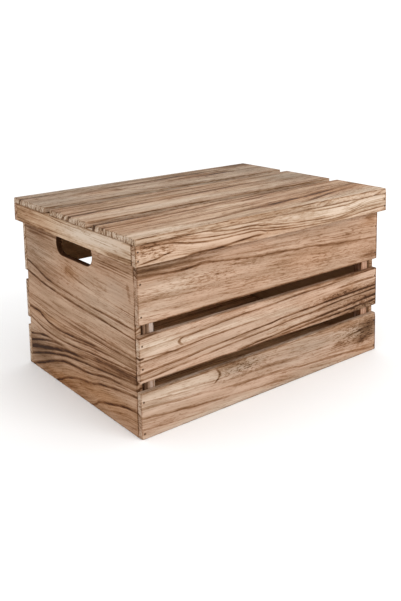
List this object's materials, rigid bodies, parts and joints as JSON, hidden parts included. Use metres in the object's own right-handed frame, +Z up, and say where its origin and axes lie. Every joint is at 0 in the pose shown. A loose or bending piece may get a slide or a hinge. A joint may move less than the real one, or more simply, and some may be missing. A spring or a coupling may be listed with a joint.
{
  "type": "lidded slatted kindling box",
  "caption": "Slatted wooden kindling box with solid ends, a hand hole in each end and a skirted lift-off lid with gaps between its boards.",
  "frame": {"origin": "centre of the bounding box's base, on the ground", "axes": "+X along the box to the viewer's right, +Y to the back, +Z up. The pictured corner is -X, -Y."},
  "size_m": [0.476, 0.347, 0.2705],
  "materials": {
    "slat_wood": "torched and brushed, bare",
    "panel_wood": "torched and brushed, bare",
    "lid_wood": "torched and brushed, bare",
    "inner_wood": "torched, bare",
    "nail_steel": "darkened"
  },
  "bodies": {
    "box": {"end_panel_left": "panel_wood", "end_panel_right": "panel_wood", "front_slat_bottom": "slat_wood", "front_slat_middle": "slat_wood", "front_slat_top": "slat_wood", "back_slat_bottom": "slat_wood", "back_slat_middle": "slat_wood", "back_slat_top": "slat_wood", "batten_front_left": "inner_wood", "batten_front_right": "inner_wood", "batten_back_left": "inner_wood", "batten_back_right": "inner_wood", "floor_cleat_left": "inner_wood", "floor_cleat_right": "inner_wood", "floor_board_front": "inner_wood", "floor_board_middle": "inner_wood", "floor_board_back": "inner_wood", "front_nails": "nail_steel", "back_nails": "nail_steel", "floor_brads": "nail_steel"},
    "lid": {"lid_board_front": "lid_wood", "lid_board_middle": "lid_wood", "lid_board_back": "lid_wood", "lid_skirt_front": "lid_wood", "lid_skirt_back": "lid_wood", "lid_rail_left": "lid_wood", "lid_rail_right": "lid_wood", "lid_front_nails": "nail_steel", "lid_back_nails": "nail_steel", "lid_brads": "nail_steel"}
  },
  "joints": [
    {"name": "lid_lift", "type": "slide", "parent": "box", "child": "lid", "axis": [0, 0, 1], "range_m": [0, 0.12]}
  ]
}
